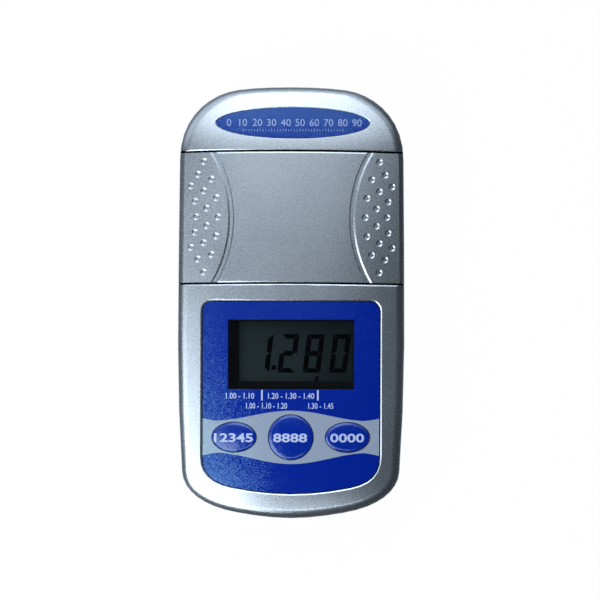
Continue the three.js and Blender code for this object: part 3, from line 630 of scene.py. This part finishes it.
def refine(mesh, longest):
    """Splits long edges so that a flat mark can follow a curved face."""
    bm = bmesh.new()
    bm.from_mesh(mesh)
    bmesh.ops.remove_doubles(bm, verts=bm.verts, dist=1e-6)
    bmesh.ops.triangulate(bm, faces=bm.faces)
    for _ in range(6):
        long_edges = [e for e in bm.edges if e.calc_length() > longest]
        if not long_edges:
            break
        bmesh.ops.subdivide_edges(bm, edges=long_edges, cuts=1)
        bmesh.ops.triangulate(bm, faces=bm.faces)
    bm.to_mesh(mesh)
    bm.free()
    mesh.validate()


def lay_on(mesh, node):
    """Drops a flat mark on a CAD node's upper surface, an ink's thickness above it."""
    source = nodes[node].data
    corners = [v.co[:] for v in source.vertices]
    tree = BVHTree.FromPolygons(corners, [face.vertices[:] for face in source.polygons])
    for vertex in mesh.vertices:
        above = Vector((vertex.co.x, vertex.co.y, 0.1))
        hit = tree.ray_cast(above, Vector((0, 0, -1)))[0]
        if hit is not None:
            vertex.co.z = hit.z + INK
    mesh.update()


def polygons_mesh(name, polygons):
    bm = bmesh.new()
    for polygon in polygons:
        bm.faces.new([bm.verts.new((x * mm, y * mm, 0)) for x, y in polygon])
    bmesh.ops.recalc_face_normals(bm, faces=bm.faces)
    for face in bm.faces:
        face.normal_update()
        if face.normal.z < 0:
            face.normal_flip()
    mesh = bpy.data.meshes.new(name)
    bm.to_mesh(mesh)
    bm.free()
    return mesh


def numerals_mesh(name, text, height, centre, width=None, weight=0.0):
    """Plain numbers as a flat mesh, centred on a point, with an optional overall width."""
    curve = bpy.data.curves.new(name, "FONT")
    curve.body = text
    curve.size = 10
    curve.offset = weight
    curve.align_x = "CENTER"
    curve.resolution_u = 3
    holder = bpy.data.objects.new(name, curve)
    bpy.context.scene.collection.objects.link(holder)
    view = bpy.context.evaluated_depsgraph_get()
    mesh = bpy.data.meshes.new_from_object(holder.evaluated_get(view))
    bpy.data.objects.remove(holder)
    bpy.data.curves.remove(curve)
    xs = [v.co.x for v in mesh.vertices]
    ys = [v.co.y for v in mesh.vertices]
    grow_y = height / (max(ys) - min(ys))
    grow_x = width / (max(xs) - min(xs)) if width else grow_y
    mid_x, mid_y = (max(xs) + min(xs)) / 2, (max(ys) + min(ys)) / 2
    for v in mesh.vertices:
        x = (v.co.x - mid_x) * grow_x + centre[0]
        y = (v.co.y - mid_y) * grow_y + centre[1]
        v.co = Vector((x, y, 0)) * mm
    return mesh


def joined(name, meshes):
    bm = bmesh.new()
    for mesh in meshes:
        bm.from_mesh(mesh)
        bpy.data.meshes.remove(mesh)
    mesh = bpy.data.meshes.new(name)
    bm.to_mesh(mesh)
    bm.free()
    return mesh


# Which bars of a seven-bar digit are dark.
SEGMENTS = {"0": "abcdef", "1": "bc", "2": "abged", "8": "abcdefg"}


def digit_polygons(digit, x, y):
    """The dark bars of one sloping digit, whose lower left corner is at x, y."""
    w, h, t, gap, slant = 5.05, 11.1, 1.45, 0.13, 0.12
    m = h / 2
    shapes = {
        "a": [(gap, h), (w - gap, h), (w - t, h - t + gap), (t, h - t + gap)],
        "b": [
            (w, h - gap),
            (w, m + gap),
            (w - t / 2, m + gap / 2),
            (w - t, m + t / 2),
            (w - t, h - t),
        ],
        "c": [(w, m - gap), (w, gap), (w - t, t), (w - t, m - t / 2), (w - t / 2, m - gap / 2)],
        "d": [(gap, 0), (w - gap, 0), (w - t, t - gap), (t, t - gap)],
        "e": [(0, gap), (0, m - gap), (t / 2, m - gap / 2), (t, m - t / 2), (t, t)],
        "f": [(0, m + gap), (0, h - gap), (t, h - t), (t, m + t / 2), (t / 2, m + gap / 2)],
        "g": [
            (t / 2 + gap, m),
            (t + gap, m + t / 2),
            (w - t - gap, m + t / 2),
            (w - t / 2 - gap, m),
            (w - t - gap, m - t / 2),
            (t + gap, m - t / 2),
        ],
    }
    return [[(x + px + slant * py, y + py) for px, py in shapes[s]] for s in SEGMENTS[digit]]


def display_reading():
    """The reading on the display: sloping seven-bar digits, a point and a pointer below."""
    foot = -20.15
    shapes = []
    for digit, x in (("1", -11.4), ("2", -4.0), ("8", 3.3), ("0", 10.9)):
        shapes += digit_polygons(digit, x, foot)
    low, high = foot + 0.8, foot + 2.1
    shapes.append([(-5.7, low), (-4.4, low), (-4.25, high), (-5.55, high)])
    shapes.append([(6.3, -24.0), (7.6, -24.0), (7.95, -21.1), (7.1, -21.1)])
    mesh = polygons_mesh("display_reading", shapes)
    glass_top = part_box("lcd_glass")[1][2]
    for v in mesh.vertices:
        v.co.z = glass_top + 0.03 * mm
    return finished("display_reading", mesh, segment_ink, "case")


def panel_print():
    """Division lines and plain numbers under the display window."""
    foot, top, half = -28.1, -25.1, 0.24
    lines = [
        [(x - half, foot), (x + half, foot), (x + half, top), (x - half, top)]
        for x in (-8.36, 7.72)
    ]
    marks = [
        polygons_mesh("lines", lines),
        numerals_mesh("range_1", "1.00 - 1.10", 1.7, (-14.65, -26.8), 8.1, 0.12),
        numerals_mesh("range_2", "1.20 - 1.30 - 1.40", 1.7, (0.05, -26.8), 13.3, 0.12),
        numerals_mesh("range_3", "1.00 - 1.10 - 1.20", 1.7, (-7.0, -29.65), 11.8, 0.12),
        numerals_mesh("range_4", "1.30 - 1.45", 1.7, (8.6, -29.65), 7.2, 0.12),
    ]
    mesh = joined("panel_print", marks)
    refine(mesh, 0.8 * mm)
    lay_on(mesh, "panel_overlay")
    return finished("panel_print", mesh, pale_print, "case")


def panel_edge_shade(width=0.27 * mm):
    """A fine dark line along the outer edge of the panel's film: painted shade where the pocket's
    rim shades the film's edge.
    """
    bm = bmesh.new()
    bm.from_mesh(nodes["panel_overlay"].data)
    bmesh.ops.remove_doubles(bm, verts=bm.verts, dist=2e-6)
    upper = {face for face in bm.faces if face.normal.z > 0.96}
    rim = [e for e in bm.edges if sum(face in upper for face in e.link_faces) == 1]
    near = {}
    for e in rim:
        for a, b in (e.verts, reversed(e.verts)):
            near.setdefault(a, []).append(b)
    start = min(near, key=lambda v: (v.co.x, v.co.y))
    loop = [start, near[start][0]]
    while loop[-1] is not start:
        ahead = [v for v in near[loop[-1]] if v is not loop[-2]]
        loop.append(ahead[0])
    outer = [v.co.copy() for v in loop[:-1]]
    bm.free()
    count = len(outer)
    turn = sum(outer[i - 1].x * outer[i].y - outer[i].x * outer[i - 1].y for i in range(count))
    side = 1 if turn > 0 else -1
    strip = bmesh.new()
    rungs = []
    for i, edge in enumerate(outer):
        along = (outer[(i + 1) % count] - outer[i - 1]).to_2d().normalized()
        inward = Vector((-along.y, along.x)) * side
        ends = []
        for reach in (0.02 * mm, width):
            x, y = edge.x + inward.x * reach, edge.y + inward.y * reach
            z = edge.z + crown(x, y)[0] - crown(edge.x, edge.y)[0] + INK
            ends.append(strip.verts.new((x, y, z)))
        rungs.append(ends)
    for i in range(count):
        (a, b), (c, d) = rungs[i - 1], rungs[i]
        strip.faces.new((a, c, d, b) if side > 0 else (b, d, c, a))
    mesh = bpy.data.meshes.new("panel_edge_shade")
    strip.to_mesh(mesh)
    strip.free()
    return finished("panel_edge_shade", mesh, edge_shade_ink, "case")


def key_legend(key, text, x, width):
    mesh = numerals_mesh(key + "_legend", text, 2.57, (x, -38.85), width, 0.25)
    refine(mesh, 0.6 * mm)
    lay_on(mesh, key)
    return finished(key + "_legend", mesh, pale_print, key)


def row_tree():
    """Geometry nodes: a straight row of equal bars, with every so many bars longer."""
    tree = bpy.data.node_groups.new("row_of_bars", "GeometryNodeTree")
    face = tree.interface
    face.new_socket("Geometry", in_out="OUTPUT", socket_type="NodeSocketGeometry")
    kinds = {"Count": "NodeSocketInt", "Every": "NodeSocketInt", "Start": VECTOR}
    kinds |= dict.fromkeys(("Pitch", "Width", "Length", "Thickness", "Long"), FLOAT)
    kinds |= {"Flat": "NodeSocketBool", "Finish": "NodeSocketMaterial"}
    for label, kind in kinds.items():
        face.new_socket(label, in_out="INPUT", socket_type=kind)
    gin, gout = tree.nodes.new("NodeGroupInput"), tree.nodes.new("NodeGroupOutput")
    link = tree.links.new
    step = tree.nodes.new("ShaderNodeCombineXYZ")
    link(gin.outputs["Pitch"], step.inputs["X"])
    row = place(tree, "GeometryNodeMeshLine")
    link(gin.outputs["Count"], row.inputs["Count"])
    link(gin.outputs["Start"], row.inputs["Start Location"])
    link(step.outputs[0], row.inputs["Offset"])
    size = tree.nodes.new("ShaderNodeCombineXYZ")
    for socket, axis in (("Width", "X"), ("Length", "Y"), ("Thickness", "Z")):
        link(gin.outputs[socket], size.inputs[axis])
    bar = tree.nodes.new("GeometryNodeMeshCube")
    link(size.outputs[0], bar.inputs["Size"])
    sheet = place(tree, "GeometryNodeMeshGrid", {"Vertices X": 2, "Vertices Y": 2})
    link(gin.outputs["Width"], sheet.inputs["Size X"])
    link(gin.outputs["Length"], sheet.inputs["Size Y"])
    shape = place(tree, "GeometryNodeSwitch", input_type="GEOMETRY")
    link(gin.outputs["Flat"], shape.inputs["Switch"])
    link(bar.outputs["Mesh"], shape.inputs["False"])
    link(sheet.outputs["Mesh"], shape.inputs["True"])
    index = tree.nodes.new("GeometryNodeInputIndex")
    left = place(tree, "FunctionNodeIntegerMath", operation="MODULO")
    link(index.outputs[0], left.inputs[0])
    link(gin.outputs["Every"], left.inputs[1])
    first = place(tree, "FunctionNodeCompare", data_type="INT", operation="EQUAL")
    link(left.outputs[0], first.inputs[2])
    choice = place(tree, "GeometryNodeSwitch", input_type="FLOAT")
    link(first.outputs[0], choice.inputs["Switch"])
    choice.inputs["False"].default_value = 1.0
    link(gin.outputs["Long"], choice.inputs["True"])
    stretch = place(tree, "ShaderNodeCombineXYZ", {"X": 1.0, "Z": 1.0})
    link(choice.outputs[0], stretch.inputs["Y"])
    copies = tree.nodes.new("GeometryNodeInstanceOnPoints")
    link(row.outputs[0], copies.inputs["Points"])
    link(shape.outputs[0], copies.inputs["Instance"])
    link(stretch.outputs[0], copies.inputs["Scale"])
    real = tree.nodes.new("GeometryNodeRealizeInstances")
    link(copies.outputs[0], real.inputs[0])
    dress = tree.nodes.new("GeometryNodeSetMaterial")
    link(real.outputs[0], dress.inputs["Geometry"])
    link(gin.outputs["Finish"], dress.inputs["Material"])
    link(dress.outputs[0], gout.inputs[0])
    return tree


row_of_bars = row_tree()


def bar_row(name, **sizes):
    holder = bpy.data.objects.new(name, bpy.data.meshes.new(name))
    bpy.context.scene.collection.objects.link(holder)
    modifier = holder.modifiers.new("row", "NODES")
    modifier.node_group = row_of_bars
    for item in row_of_bars.interface.items_tree:
        if item.in_out == "INPUT" and item.name in sizes:
            modifier[item.identifier] = sizes[item.name]
    view = bpy.context.evaluated_depsgraph_get()
    mesh = bpy.data.meshes.new_from_object(holder.evaluated_get(view))
    holder.modifiers.clear()
    bpy.data.objects.remove(holder)
    mesh.name = name
    return mesh


def badge_scale():
    """A plain graduated scale on the badge, with round numbers."""
    sizes = dict(Count=36, Pitch=0.818 * mm, Width=0.14 * mm, Length=0.6 * mm, Long=1.5, Every=5)
    first = (-14.01 * mm, 49.6 * mm, 0.0)
    ticks = bar_row("badge_ticks", Flat=True, Start=first, Finish=badge_print, **sizes)
    numbers = [numerals_mesh("n", str(i * 10), 2.05, (-18.1 + 4.09 * i, 51.8)) for i in range(10)]
    mesh = joined("badge_scale", [ticks, *numbers])
    refine(mesh, 0.8 * mm)
    lay_on(mesh, "badge_plate")
    return finished("badge_scale", mesh, badge_print, "case")


def chip_legs():
    """Tinned legs along both long sides of the processor."""
    low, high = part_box("processor_chip")
    sizes = dict(Count=14, Pitch=0.8 * mm, Width=0.32 * mm, Length=0.9 * mm, Thickness=0.2 * mm)
    sizes |= dict(Flat=False, Long=1.0, Every=100, Start=(0.0, 0.0, 0.0))
    rows = []
    for side, x in (("left", low[0] - 0.45 * mm), ("right", high[0] + 0.45 * mm)):
        row = bar_row("legs_" + side, Finish=pin_tin, **sizes)
        for v in row.vertices:
            y, z = low[1] + 0.8 * mm + v.co.x, high[2] - 0.3 * mm + v.co.z
            v.co = Vector((x + v.co.y, y, z))
        rows.append(row)
    mesh = joined("chip_legs", rows)
    return finished("chip_legs", mesh, pin_tin, "case")


display_reading()
panel_print()
panel_edge_shade()
key_legend("scale_key", "12345", -16.5, 11.2)
key_legend("read_key", "8888", -0.2, 9.8)
key_legend("zero_key", "0000", 16.2, 9.8)
badge_scale()
chip_legs()


# ---- room, light and camera


def floor_white():
    """A pale floor that camera, metal and glass see as white, with the object's shadow kept."""
    shade, whiteness = (0.86, 0.86, 0.87), 0.985
    material = bpy.data.materials.new("floor_white")
    material.use_nodes = True
    tree = material.node_tree
    shader = tree.nodes["Principled BSDF"]
    mottle = place(tree, "ShaderNodeTexNoise", {"Scale": 12.0, "Detail": 3.0})
    where = tree.nodes.new("ShaderNodeTexCoord").outputs["Object"]
    tree.links.new(where, mottle.inputs["Vector"])
    tone = mix_colours(tree, mottle.outputs["Fac"], shade, tuple(c * 0.99 for c in shade))
    tree.links.new(tone, shader.inputs["Base Color"])
    set_shader(shader, Roughness=0.9)
    glow = place(tree, "ShaderNodeEmission", {"Color": (1, 1, 1, 1), "Strength": 1.0})
    path = tree.nodes.new("ShaderNodeLightPath").outputs
    seen = math_node(tree, "MAXIMUM", path["Is Camera Ray"], path["Is Glossy Ray"])
    seen = math_node(tree, "MAXIMUM", seen, path["Is Transmission Ray"])
    seen = math_node(tree, "MULTIPLY", seen, whiteness)
    blend = tree.nodes.new("ShaderNodeMixShader")
    tree.links.new(seen, blend.inputs[0])
    tree.links.new(shader.outputs[0], blend.inputs[1])
    tree.links.new(glow.outputs[0], blend.inputs[2])
    tree.links.new(blend.outputs[0], tree.nodes["Material Output"].inputs["Surface"])
    return material


def floor():
    mesh = bpy.data.meshes.new("floor")
    r = 3.0
    z = -0.05 * mm
    mesh.from_pydata([(-r, -r, z), (r, -r, z), (r, r, z), (-r, r, z)], [], [(0, 1, 2, 3)])
    mesh.materials.append(floor_white())
    plane = bpy.data.objects.new("floor", mesh)
    bpy.context.scene.collection.objects.link(plane)


LAMP_HEIGHT = 0.325

# Each level softbox: its centre from above, its width and length, and its radiance.
SOFTBOXES = {
    "corner_softbox": ((-0.26, -0.23), (0.4, 0.34), 4.39),
    "left_softbox": ((-0.285, -0.035), (0.35, 0.05), 2.2),
    "top_softbox": ((-0.004, 0.262), (0.217, 0.375), 2.2),
    "bottom_softbox": ((0.02, -0.17), (0.13, 0.05), 3.6),
    "overhead_strip": ((-0.009, 0.0295), (0.162, 0.051), 0.49),
    "shoulder_softbox": ((0.155, 0.145), (0.09, 0.12), 0.66),
}


def softbox(name, centre, size, radiance):
    lamp = bpy.data.lights.new(name, "AREA")
    lamp.shape = "RECTANGLE"
    lamp.size, lamp.size_y = size
    lamp.energy = radiance * math.pi * size[0] * size[1]
    holder = bpy.data.objects.new(name, lamp)
    holder.location = (*centre, LAMP_HEIGHT)
    bpy.context.scene.collection.objects.link(holder)


def pale_patch(tree, facing, lean, towards_head, to_side, rise):
    """Soft-edged patch of the surroundings, beyond one shoulder of the head."""
    x, y, z = facing.outputs
    aside = math_node(tree, "MULTIPLY_ADD", x, lean, math_node(tree, "MULTIPLY", y, 0.6))
    patch = math_node(tree, "MULTIPLY", ramp(tree, y, *towards_head), ramp(tree, aside, *to_side))
    return math_node(tree, "MULTIPLY", patch, ramp(tree, z, *rise))


def room_light():
    """Dim surroundings, with a pale patch beyond each shoulder of the head."""
    world = bpy.data.worlds.new("room")
    bpy.context.scene.world = world
    world.use_nodes = True
    tree = world.node_tree
    sky = tree.nodes["Background"]
    sky.inputs["Strength"].default_value = 1.0
    facing = tree.nodes.new("ShaderNodeSeparateXYZ")
    tree.links.new(tree.nodes.new("ShaderNodeTexCoord").outputs["Generated"], facing.inputs[0])
    left = pale_patch(tree, facing, -0.8, (0.12, 0.24), (0.1, 0.26), (0.22, 0.36))
    right = pale_patch(tree, facing, 0.8, (0.24, 0.48), (0.25, 0.45), (0.4, 0.62))
    upper = mix_colours(tree, right, (0.02, 0.021, 0.023), (0.75, 0.77, 0.8))
    upper = mix_colours(tree, left, upper, (0.98, 1.0, 1.02))
    above_floor = ramp(tree, facing.outputs[2], -0.1, 0.0)
    shade = mix_colours(tree, above_floor, (0.3, 0.31, 0.32), upper)
    tree.links.new(shade, sky.inputs["Color"])


def camera():
    """Straight above the display side, as in the photograph, with a long lens."""
    distance = 2.0
    seen_width = 0.17323
    aimed_height = 16 * mm
    data = bpy.data.cameras.new("camera")
    data.sensor_width = 36
    data.lens = data.sensor_width * distance / seen_width
    data.clip_start = 0.01
    holder = bpy.data.objects.new("camera", data)
    holder.location = (2.5 * mm, 0.79 * mm, distance + aimed_height)
    holder.rotation_euler = (0, 0, math.radians(0.2))
    bpy.context.scene.collection.objects.link(holder)
    bpy.context.scene.camera = holder


bpy.context.scene.view_settings.view_transform = "Standard"
floor()
room_light()
for name, (centre, size, radiance) in SOFTBOXES.items():
    softbox(name, centre, size, radiance)
camera()
